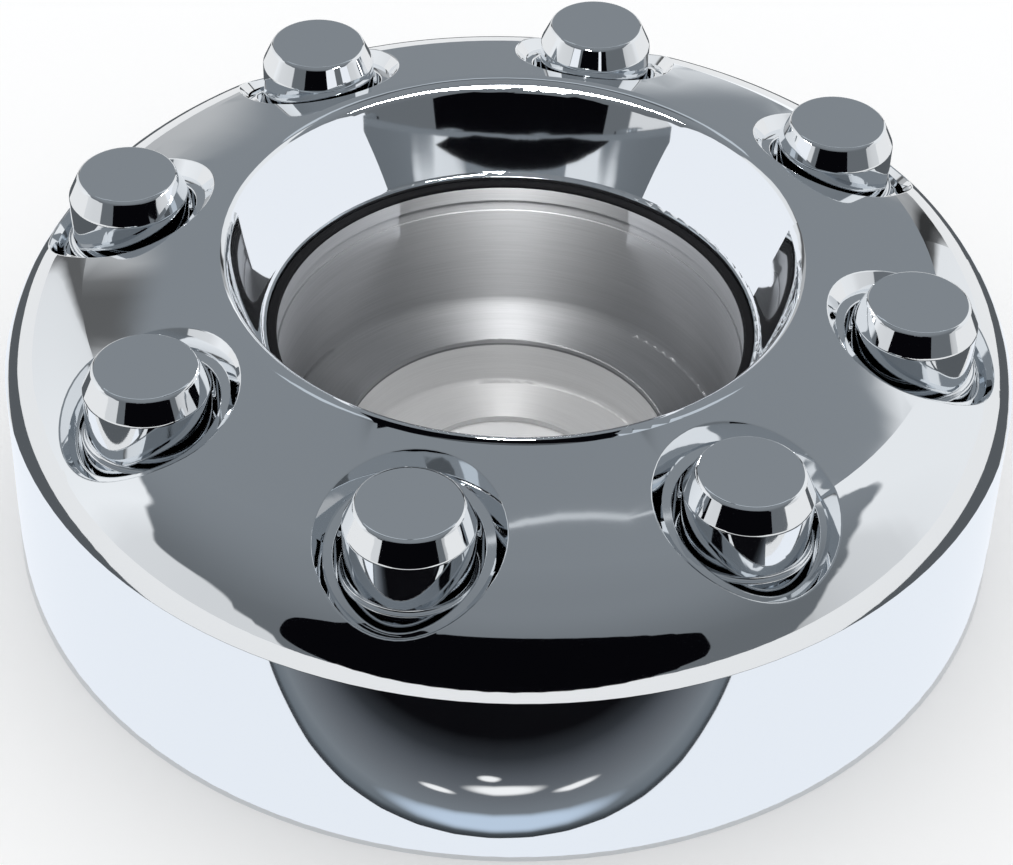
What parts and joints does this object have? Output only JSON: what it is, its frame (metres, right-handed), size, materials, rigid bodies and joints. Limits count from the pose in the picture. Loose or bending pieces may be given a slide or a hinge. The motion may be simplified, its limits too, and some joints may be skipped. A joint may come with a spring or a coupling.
{
  "type": "truck front axle cover",
  "caption": "Round chromed front axle cover for a truck wheel, with push-on lug nut caps in stepped wells round a dished lip and a steel-lined centre bore.",
  "frame": {"origin": "centre of the skirt's rim plane, on the axle's axis", "axes": "+Z along the axle, outboard, towards the tops of the lug caps; +X midway between two lug stations"},
  "size_m": [0.2548, 0.2548, 0.084],
  "materials": {
    "chromed_plastic": "bright chrome plating on moulded ABS",
    "chromed_caps": "bright chrome plating on moulded ABS",
    "black_rubber": "matt black rubber",
    "turned_steel": "turned steel with fine lines round the bore",
    "zinc_steel": "zinc plated steel"
  },
  "bodies": {
    "root": {"cover_shell": "chromed_plastic", "lug_cap_1": "chromed_caps", "lug_cap_2": "chromed_caps", "lug_cap_3": "chromed_caps", "lug_cap_4": "chromed_caps", "lug_cap_5": "chromed_caps", "lug_cap_6": "chromed_caps", "lug_cap_7": "chromed_caps", "lug_cap_8": "chromed_caps", "cap_gasket_1": "black_rubber", "cap_gasket_2": "black_rubber", "cap_gasket_3": "black_rubber", "cap_gasket_4": "black_rubber", "cap_gasket_5": "black_rubber", "cap_gasket_6": "black_rubber", "cap_gasket_7": "black_rubber", "cap_gasket_8": "black_rubber", "bore_seal": "black_rubber", "hub_sleeve": "turned_steel", "sleeve_screw_1": "zinc_steel", "sleeve_screw_2": "zinc_steel", "sleeve_screw_3": "zinc_steel", "sleeve_screw_4": "zinc_steel"}
  },
  "joints": []
}
